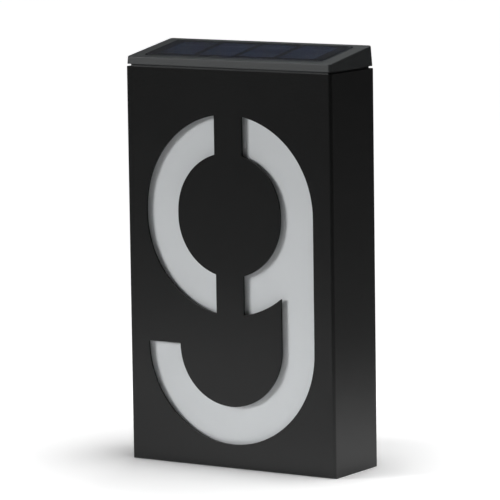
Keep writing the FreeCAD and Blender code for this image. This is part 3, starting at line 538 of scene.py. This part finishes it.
def screw_pattern(name, head_radius, head_height, shank_radius, shank_length, pitch):
    """One pan-head screw with a cross recess, its head below the origin and its thread above it."""
    core_radius = core_share * shank_radius
    head = [(across * head_radius, -down * head_height) for across, down in head_profile]
    thread = [(core_radius, 0)]
    height = thread_start
    while height < shank_length - pitch:
        thread += [(core_radius, height), (shank_radius, height + pitch / 2)]
        height += pitch
    tip = [(tip_share * shank_radius, shank_length), (0, shank_length)]
    screw = lathed(name, head + thread + tip, sides=40)
    arm = cross_arm_share * head_radius
    half = cross_half_share * head_radius
    depth = cross_depth_share * head_height
    along, across = cross_foot_shares
    cross = bmesh.new()
    for angle in (0, math.pi / 2):
        spin = Matrix.Rotation(angle, 4, "Z")
        rim = [spin @ Vector((x * arm, y * half, -cross_reach_out * head_height)) for x, y in square]
        foot = [spin @ Vector((x * arm * along, y * half * across, depth - head_height))
                for x, y in square]
        corners = [cross.verts.new(corner) for corner in rim + foot]
        for loop in block_faces:
            cross.faces.new([corners[i] for i in loop])
    bmesh.ops.recalc_face_normals(cross, faces=cross.faces)
    cutter_mesh = bpy.data.meshes.new(name + "_cross")
    cross.to_mesh(cutter_mesh)
    cross.free()
    cutter = bpy.data.objects.new(name + "_cross", cutter_mesh)
    bpy.context.scene.collection.objects.link(cutter)
    recess = screw.modifiers.new("recess", "BOOLEAN")
    recess.object = cutter
    recess.use_self = True
    settled(screw)
    bpy.data.objects.remove(cutter)
    return screw


def screws(name, pattern, points, finish):
    """The same screw on several points."""
    layout = Layout(name, scale=1.0)
    shape = layout.node("ObjectInfo", {"Object": pattern}, "Geometry")
    scale = layout.entry["scale"]
    sized = layout.node("Transform", {"Geometry": shape, "Scale": layout.vector(scale, scale, scale)})
    row = layout.piece([sized], points, finish)
    bpy.data.objects.remove(pattern)
    return row


head_radius = 2.6 * mm
head_height = 1.6 * mm
shank_radius = 1.18 * mm
shank_length = 9.0 * mm
thread_pitch = 0.9 * mm
screw_low, screw_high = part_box("base_screws")
base_screw = screw_pattern("base_screw", head_radius, head_height, shank_radius, shank_length,
                           thread_pitch)
screw_x = screw_high.x - head_radius
screw_y = screw_high.y - head_radius
screw_row = screws("base_screw_set", base_screw, [
    (x, y, screw_low.z + head_height) for x in (-screw_x, screw_x) for y in (-screw_y, screw_y)], zinc)
placed(screw_row, "base_screws")


# ---- Lamps ---------------------------------------------------------------------------------------
# Six small white lamps sit on the underside of a white board and shine down through a clear strip.
# Each is a pale case with a round well of yellow gel, and all of them are off.
white_board = Finish("white_solder_mask", Roughness=0.35)
white_board.mottle(0.002, (0.78, 0.79, 0.78), (0.84, 0.85, 0.84))
dressed("lamp_board", white_board)

lamp_count = 6
lamp_length = 3.5 * mm
lamp_low, lamp_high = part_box("lamps")
lamp_pitch = (lamp_high.x - lamp_low.x - lamp_length) / (lamp_count - 1)
lamp_middle = (lamp_low.y + lamp_high.y) / 2
gel_radius = 1.15 * mm
gel_core_share = 0.93

lamp_body = Finish("lamp_body", Roughness=0.3)
along_row = (lamp_body.axis("X") - (lamp_low.x + lamp_length / 2)) * (1.0 / lamp_pitch) + 0.5
off_centre = (along_row.maths("FRACT") - 0.5) * lamp_pitch
across_row = lamp_body.axis("Y") - lamp_middle
reach = (off_centre * off_centre + across_row * across_row).maths("SQRT")
inside = 1 - reach.ramp(gel_core_share * gel_radius, gel_radius)
powder = lamp_body.noise(0.0005)
case_tint = blend_colours(powder, (0.80, 0.80, 0.77), (0.86, 0.86, 0.83))
gel_tint = blend_colours(powder, (0.80, 0.58, 0.10), (0.88, 0.68, 0.16))
lamp_body.set("Base Color", blend_colours(inside, case_tint, gel_tint))

case_half_x = lamp_length / 2
case_half_y = (lamp_high.y - lamp_low.y) / 2
case_height = lamp_high.z - lamp_low.z
well_sides = 24
well_taper = 0.85
well_depth = 0.25 * case_height

package = bmesh.new()
circle = [(gel_radius * math.cos(2 * math.pi * i / well_sides),
           gel_radius * math.sin(2 * math.pi * i / well_sides)) for i in range(well_sides)]
top = [package.verts.new((x * case_half_x, y * case_half_y, case_height)) for x, y in square]
foot = [package.verts.new((x * case_half_x, y * case_half_y, 0)) for x, y in square]
rim = [package.verts.new((x, y, 0)) for x, y in circle]
well = [package.verts.new((well_taper * x, well_taper * y, well_depth)) for x, y in circle]
package.faces.new(top)
for i in range(4):
    package.faces.new([top[i], foot[i], foot[(i + 1) % 4], top[(i + 1) % 4]])
for i in range(well_sides):
    package.faces.new([rim[i], rim[(i + 1) % well_sides], well[(i + 1) % well_sides], well[i]])
package.faces.new(well)
outline = [package.edges.get((foot[i], foot[(i + 1) % 4])) for i in range(4)]
outline += [package.edges.get((rim[i], rim[(i + 1) % well_sides])) for i in range(well_sides)]
bmesh.ops.triangle_fill(package, use_beauty=True, use_dissolve=False, edges=outline, normal=(0, 0, -1))
bmesh.ops.recalc_face_normals(package, faces=package.faces)
package_mesh = bpy.data.meshes.new("lamp_package")
package.to_mesh(package_mesh)
package.free()
package_pattern = bpy.data.objects.new("lamp_package", package_mesh)
bpy.context.scene.collection.objects.link(package_pattern)

lamp_layout = Layout("lamp_row", count=lamp_count, pitch=lamp_pitch)
one_lamp = lamp_layout.node("ObjectInfo", {"Object": package_pattern}, "Geometry")
entry = lamp_layout.entry
lamp_set = lamp_layout.row(one_lamp, entry["count"], lamp_layout.vector(entry["pitch"]))
first_lamp = (lamp_low.x + case_half_x, lamp_middle, lamp_low.z)
lamp_row = lamp_layout.piece([lamp_set], [first_lamp], lamp_body)
bpy.data.objects.remove(package_pattern)
placed(lamp_row, "lamps")

clear_strip = Finish("clear_strip", IOR=1.49, Transmission_Weight=1.0)
clear_strip.set("Roughness", 0.06 + 0.06 * clear_strip.noise(0.004))
dressed("lamp_lens", clear_strip)


# ---- Cell and contacts ---------------------------------------------------------------------------
# One rechargeable cell lies in the base's cradle, between a plated plate and a plated leaf. Its can
# is bare at both ends and otherwise in green film, with a pale collar at the plus end.
battery_low, battery_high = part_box("battery")
nub_height = 1.3 * mm
collar_width = 1.6 * mm
plate_radius = 4.6 * mm
print_edge = 0.05 * mm
shoulder = battery_low.x + nub_height
wrap = Finish("green_film_wrap")
along_cell = wrap.axis("X")
across_cell = wrap.axis("Y")
upright = wrap.axis("Z") - (battery_low.z + battery_high.z) / 2
from_axis = (across_cell * across_cell + upright * upright).maths("SQRT")
film = along_cell.ramp(shoulder - print_edge, shoulder) * from_axis.ramp(
    plate_radius, plate_radius + 2 * print_edge)
collar = 1 - along_cell.ramp(shoulder + collar_width, shoulder + collar_width + print_edge)
shade = wrap.noise(0.006)
rub = wrap.streaks(0.0012, "X", 9.0)
green = blend_colours(shade, (0.045, 0.20, 0.08), (0.065, 0.26, 0.10))
banded = blend_colours(collar, green, (0.80, 0.80, 0.78))
wrap.set("Base Color", blend_colours(film, (0.62, 0.61, 0.58), banded))
wrap.set("Metallic", 1 - film)
wrap.set("Roughness", 0.22 + 0.10 * rub)
dressed("battery", wrap)

nickel = Finish("nickel_plate", Metallic=1.0)
scuff = nickel.streaks(0.0006, "Z", 8.0)
nickel.set("Base Color", blend_colours(scuff, (0.62, 0.60, 0.56), (0.68, 0.66, 0.61)))
nickel.set("Roughness", 0.28 + 0.05 * scuff)
for contact in ("plus_contact", "minus_contact"):
    dressed(contact, nickel)


# ---- Driver board --------------------------------------------------------------------------------
# A green glass-fibre board carries a drum coil, an upright capacitor, a chip and three chip resistors.
# Its copper tracks show as raised lines in lots that run along or across the board.
green_board = Finish("green_solder_mask", Roughness=0.35)
track_lot = 3.2 * mm
track_pitch = 0.8 * mm
track_edge = (0.55, 0.65)
lots_along_x = 0.35
lots_along_y = 0.4
lots = {0: green_board.place, 1: (track_lot, track_lot, 1.0)}
field = green_board.start.node("VectorMath", {"operation": "SNAP"}, lots)
draw = green_board.start.node("TexWhiteNoise", {"noise_dimensions": "3D"}, {"Vector": field})
lines_x = (green_board.axis("X") * (1 / track_pitch)).maths("FRACT").ramp(*track_edge)
lines_y = (green_board.axis("Y") * (1 / track_pitch)).maths("FRACT").ramp(*track_edge)
tracks_x = lines_x * draw.maths("LESS_THAN", lots_along_x)
tracks_y = lines_y * draw.maths("GREATER_THAN", 1 - lots_along_y)
tracks = tracks_x + tracks_y
green_board.set("Base Color", blend_colours(tracks, (0.008, 0.085, 0.030), (0.018, 0.17, 0.055)))
green_board.bump(tracks, 0.00003)
dressed("driver_board", green_board)

# A drum coil: a ferrite core with two flanges and enamelled copper wire wound between them.
coil_low, coil_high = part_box("driver_coil")
coil_radius = (coil_high.x - coil_low.x) / 2
coil_height = coil_high.z - coil_low.z
coil_flange = 1.2 * mm
neck_depth = 1.3 * mm
wire_radius = 0.3 * mm
winding_inset = 0.75 * mm
coil_edge = 0.1 * mm
coil_place = Matrix.Translation((
    (coil_low.x + coil_high.x) / 2, (coil_low.y + coil_high.y) / 2, coil_low.z))
ferrite = Finish("ferrite", Roughness=0.6)
grit = ferrite.mottle(0.0006, (0.03, 0.03, 0.032), (0.06, 0.06, 0.062))
ferrite.bump(grit, 0.00002)
neck_radius = coil_radius - neck_depth
core = lathed("coil_core", [
    (0, 0), (coil_radius - coil_edge, 0), (coil_radius, coil_edge), (coil_radius, coil_flange),
    (neck_radius, coil_flange), (neck_radius, coil_height - coil_flange),
    (coil_radius, coil_height - coil_flange), (coil_radius, coil_height - coil_edge),
    (coil_radius - coil_edge, coil_height), (0, coil_height)], sides=48)
core.data.transform(coil_place)
core.data.materials.append(ferrite.material)
placed(core, "driver_coil")

copper = Finish("enamelled_copper", Metallic=0.9)
enamel = copper.mottle(0.0008, (0.55, 0.20, 0.08), (0.68, 0.28, 0.11))
copper.set("Roughness", 0.25 + 0.1 * enamel)
wound_height = coil_height - 2 * coil_flange
turn_count = int(wound_height / (2 * wire_radius)) - 1
turn_radius = coil_radius - winding_inset
turn = lathed("one_turn", [
    (turn_radius + wire_radius * math.cos(math.pi * i / 4), wire_radius * math.sin(math.pi * i / 4))
    for i in range(8)] + [(turn_radius + wire_radius, 0)], sides=40)
winding_layout = Layout("coil_winding", turns=turn_count, pitch=2 * wire_radius)
entry = winding_layout.entry
one_turn = winding_layout.node("ObjectInfo", {"Object": turn}, "Geometry")
stack = winding_layout.row(one_turn, entry["turns"], winding_layout.vector(z=entry["pitch"]))
first_turn = coil_flange + (wound_height - (turn_count - 1) * 2 * wire_radius) / 2
winding = winding_layout.piece([stack], [tuple(coil_place @ Vector((0, 0, first_turn)))], copper)
bpy.data.objects.remove(turn)
placed(winding, "driver_coil")

# An electrolytic capacitor: an aluminium can in blue film, rolled in near its foot, its top scored.
can_low, can_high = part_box("driver_capacitor")
can_radius = (can_high.x - can_low.x) / 2
can_height = can_high.z - can_low.z
can_centre = Vector(((can_low.x + can_high.x) / 2, (can_low.y + can_high.y) / 2, can_low.z))
can_film = Finish("can_and_film", Roughness=0.3)
round_x = can_film.axis("X") - can_centre.x
round_y = can_film.axis("Y") - can_centre.y
out = (round_x * round_x + round_y * round_y).maths("SQRT")
rim_width = 0.55 * mm
film_edge = 0.05 * mm
score_edge = (0.05 * mm, 0.12 * mm)
stripe_edge = (0.80, 0.82)
high_up = can_film.axis("Z").ramp(can_high.z - 0.2 * mm, can_high.z - 0.1 * mm)
bare = high_up * (1 - out.ramp(can_radius - rim_width, can_radius - rim_width + film_edge))
stripe = (round_x * (1.0 / can_radius)).ramp(*stripe_edge)
score_x = 1 - round_x.maths("ABSOLUTE").ramp(*score_edge)
score_y = 1 - round_y.maths("ABSOLUTE").ramp(*score_edge)
score = score_x.maths("MAXIMUM", score_y) * bare
ink = can_film.noise(0.003)
navy = blend_colours(ink, (0.010, 0.014, 0.05), (0.016, 0.02, 0.07))
printed = blend_colours(stripe, navy, (0.45, 0.47, 0.50))
can_film.set("Base Color", blend_colours(bare, printed, (0.75, 0.75, 0.76)))
can_film.set("Metallic", bare)
can_film.bump(1 - score, 0.0001)
groove_height = 1.2 * mm
groove_half = 0.35 * mm
groove_depth = 0.3 * mm
foot_round = 0.25 * mm
top_sunk = 0.12 * mm
shoulder_drop = 0.35 * mm
shoulder_in = 0.12 * mm
rim_drop = 0.1 * mm
rim_in = 0.4 * mm
can = lathed("capacitor_can", [
    (0, 0), (can_radius - foot_round, 0), (can_radius, foot_round),
    (can_radius, groove_height - groove_half), (can_radius - groove_depth, groove_height),
    (can_radius, groove_height + groove_half), (can_radius, can_height - shoulder_drop),
    (can_radius - shoulder_in, can_height - rim_drop), (can_radius - rim_in, can_height),
    (can_radius - rim_width, can_height - top_sunk), (0, can_height - top_sunk)], sides=48)
can.data.transform(Matrix.Translation(can_centre))
can.data.materials.append(can_film.material)
placed(can, "driver_capacitor")


plating_edge = 0.04 * mm


def capped(node, name, case, metal, axis, inner):
    """A soldered part whose case ends at a distance from its middle, with plated metal beyond it."""
    low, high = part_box(node)
    finish = Finish(name)
    middle = (low + high) / 2
    from_middle = (finish.axis(axis) - middle["XYZ".index(axis)]).maths("ABSOLUTE")
    ends = from_middle.ramp(inner, inner + plating_edge)
    grime = finish.noise(0.0006)
    finish.set("Base Color", blend_colours(ends, blend_colours(grime, *case), metal))
    finish.set("Metallic", ends)
    finish.set("Roughness", 0.5 - 0.2 * ends + 0.06 * grime)
    dressed(node, finish)


plated = (0.70, 0.70, 0.69)
chip_case_half = 1.95 * mm
resistor_cap = 0.5 * mm
resistor_low, resistor_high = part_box("driver_resistors")
resistor_case_half = (resistor_high.y - resistor_low.y) / 2 - resistor_cap
chip_black = ((0.012, 0.012, 0.012), (0.026, 0.026, 0.026))
resistor_black = ((0.02, 0.02, 0.022), (0.035, 0.035, 0.04))
capped("driver_chip", "chip_case_and_legs", chip_black, plated, "Y", chip_case_half)
capped("driver_resistors", "resistor_and_caps", resistor_black, plated, "Y", resistor_case_half)

# Two small screws hold the board on its posts.
small_head_radius = 1.9 * mm
small_head_height = 1.1 * mm
small_shank_radius = 0.95 * mm
small_shank_length = 5.0 * mm
small_thread_pitch = 0.7 * mm
board_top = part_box("driver_board")[1].z
small_screw = screw_pattern("board_screw", small_head_radius, small_head_height, small_shank_radius,
                            small_shank_length, small_thread_pitch)
small_screw.data.transform(Matrix.Rotation(math.pi, 4, "X"))
post_spots = ((17.2 * mm, -3.0 * mm), (42.8 * mm, 5.2 * mm))
board_screws = screws("board_screws", small_screw, [(x, y, board_top) for x, y in post_spots], zinc)
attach(board_screws, "solar_head")


# ---- Switch --------------------------------------------------------------------------------------
# A small black slide switch whose knob reaches out through the neck's back wall. The knob moves on
# its own, so its ribs ride with it.
switch_case = Finish("switch_case", Roughness=0.4)
switch_case.mottle(0.0008, (0.02, 0.02, 0.02), (0.035, 0.035, 0.035))
dressed("switch_body", switch_case)
softened("switch_slider", 0.05 * mm, switch_case)

# Three moulded ribs across the knob's tip give the fingernail a hold.
knob_low, knob_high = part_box("switch_slider")
rib_count = 3
rib_pitch = 0.6 * mm
rib_width = 0.25 * mm
rib_height = 0.16 * mm
rib_length = 1.3 * mm
rib_proud = 0.3 * rib_height
rib_layout = Layout("knob_ribs", ribs=rib_count, pitch=rib_pitch, width=rib_width, depth=rib_height,
                    length=rib_length)
entry = rib_layout.entry
rib = rib_layout.node("MeshCube", {
    "Size": rib_layout.vector(entry["width"], entry["depth"], entry["length"])})
rib_row = rib_layout.row(rib, entry["ribs"], rib_layout.vector(entry["pitch"]))
knob_middle = (knob_low + knob_high) / 2
first_rib = (knob_middle.x - (rib_count - 1) * rib_pitch / 2, knob_high.y + rib_proud, knob_middle.z)
knob_ribs = rib_layout.piece([rib_row], [first_rib], switch_case)
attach(knob_ribs, "switch_knob")


# ---- Wires ---------------------------------------------------------------------------------------
# Thin stranded wires in soft red and black covers join panel, cell, lamps and board inside the head.
# The panel's and the lamps' leads are flat pairs, one side red and one black, with a groove between.
colour_edge = 0.04 * mm
groove_reach = 0.5 * mm
red = ((0.38, 0.02, 0.02), (0.46, 0.03, 0.03))
black = ((0.012, 0.012, 0.012), (0.02, 0.02, 0.02))
for node, tints in (("battery_lead_plus", red), ("battery_lead_minus", black)):
    cover = Finish(node + "_cover", Roughness=0.45)
    cover.mottle(0.004, *tints)
    cover.bump(cover.noise(0.0015), 0.00003)
    dressed(node, cover)
for node, across in (("solar_lead", "X"), ("lamp_lead", "Y")):
    pair = Finish(node + "_cover", Roughness=0.45)
    pair_low, pair_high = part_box(node)
    letter = "XYZ".index(across)
    beside = pair.axis(across) - (pair_low[letter] + pair_high[letter]) / 2
    smear = pair.noise(0.004)
    black_side = beside.ramp(-colour_edge, colour_edge)
    pair.set("Base Color", blend_colours(black_side, blend_colours(smear, *red),
                                         blend_colours(smear, *black)))
    pair.bump(beside.maths("ABSOLUTE").ramp(0.0, groove_reach), 0.0004)
    dressed(node, pair)
